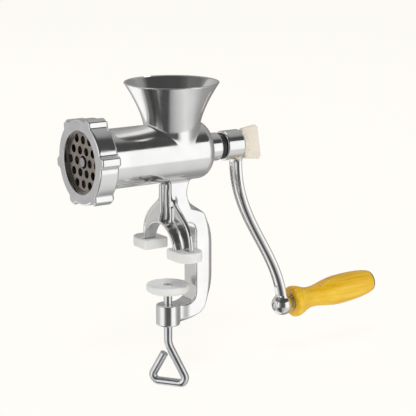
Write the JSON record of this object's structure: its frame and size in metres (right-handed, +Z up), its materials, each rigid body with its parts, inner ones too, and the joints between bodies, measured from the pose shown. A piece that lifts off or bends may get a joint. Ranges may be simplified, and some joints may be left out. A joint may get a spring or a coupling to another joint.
{
  "type": "manual meat grinder",
  "caption": "Hand-cranked meat grinder with a flared hopper, a ring-nut outlet plate, a bent crank with a wooden grip and a table-edge clamp.",
  "frame": {"origin": "on the clamp screw's axis, in the plane where the two pads rest on the table top", "axes": "+X back along the barrel from the outlet to the crank, +Z up, +Y to the right of a user who stands behind the crank and faces the outlet"},
  "size_m": [0.2593, 0.076, 0.2259],
  "materials": {
    "polished_casting": "tumble-polished aluminium casting",
    "plate_steel": "ground steel",
    "cutter_steel": "ground steel",
    "zinc_steel": "bright zinc plate",
    "white_plastic": "moulded white plastic",
    "ivory_plastic": "moulded ivory plastic",
    "black_nylon": "moulded black nylon",
    "varnished_wood": "yellow varnish",
    "dark_cap": "dark moulded plastic"
  },
  "bodies": {
    "frame": {"cast_body": "polished_casting", "rear_bush": "black_nylon", "plate_key": "zinc_steel", "near_table_pad": "white_plastic", "far_table_pad": "white_plastic"},
    "crank": {"feed_screw": "polished_casting", "cutter_pin": "cutter_steel", "cutter_blade": "cutter_steel", "thrust_washer": "white_plastic", "crank_arm": "polished_casting", "handle_spindle": "zinc_steel", "spindle_washer": "zinc_steel"},
    "grip": {"wooden_grip": "varnished_wood", "grip_end_cap": "dark_cap"},
    "thumb_washer": {"hub_washer": "zinc_steel"},
    "thumb_screw": {"thumb_screw_stud": "zinc_steel", "thumb_screw_head": "ivory_plastic"},
    "front_plate": {"hole_plate": "plate_steel"},
    "ring": {"ring_nut": "polished_casting"},
    "clamp_foot": {"clamp_disc": "white_plastic"},
    "clamp_spindle": {"clamp_screw": "zinc_steel", "disc_retainer": "zinc_steel"}
  },
  "joints": [
    {"name": "crank_turn", "type": "hinge", "parent": "frame", "child": "crank", "pos_m": [0, 0, 0.074], "axis": [1, 0, 0], "continuous": true},
    {"name": "grip_spin", "type": "hinge", "parent": "crank", "child": "grip", "pos_m": [0.102, 0, -0.055], "axis": [0.9971, 0, 0.0767], "continuous": true},
    {"name": "thumb_slide", "type": "slide", "parent": "crank", "child": "thumb_washer", "axis": [1, 0, 0], "range_m": [0, 0.01001]},
    {"name": "thumb_turn", "type": "hinge", "parent": "thumb_washer", "child": "thumb_screw", "pos_m": [0, 0, 0.074], "axis": [1, 0, 0], "range_deg": [0, 3600]},
    {"name": "plate_slide", "type": "slide", "parent": "frame", "child": "front_plate", "axis": [-1, 0, 0], "range_m": [0, 0.00801]},
    {"name": "ring_turn", "type": "hinge", "parent": "front_plate", "child": "ring", "pos_m": [0, 0, 0.074], "axis": [-1, 0, 0], "range_deg": [0, 1440]},
    {"name": "clamp_slide", "type": "slide", "parent": "frame", "child": "clamp_foot", "axis": [0, 0, 1], "range_m": [-0.00901, 0.01251]},
    {"name": "clamp_turn", "type": "hinge", "parent": "clamp_foot", "child": "clamp_spindle", "pos_m": [0, 0, 0], "axis": [0, 0, 1], "range_deg": [-2160, 3000]}
  ],
  "couplings": [
    {"joint": "thumb_slide", "follows": "thumb_turn", "m_per_rad": 0.00015915},
    {"joint": "plate_slide", "follows": "ring_turn", "m_per_rad": 0.00031831},
    {"joint": "clamp_slide", "follows": "clamp_turn", "m_per_rad": 0.00023873}
  ]
}
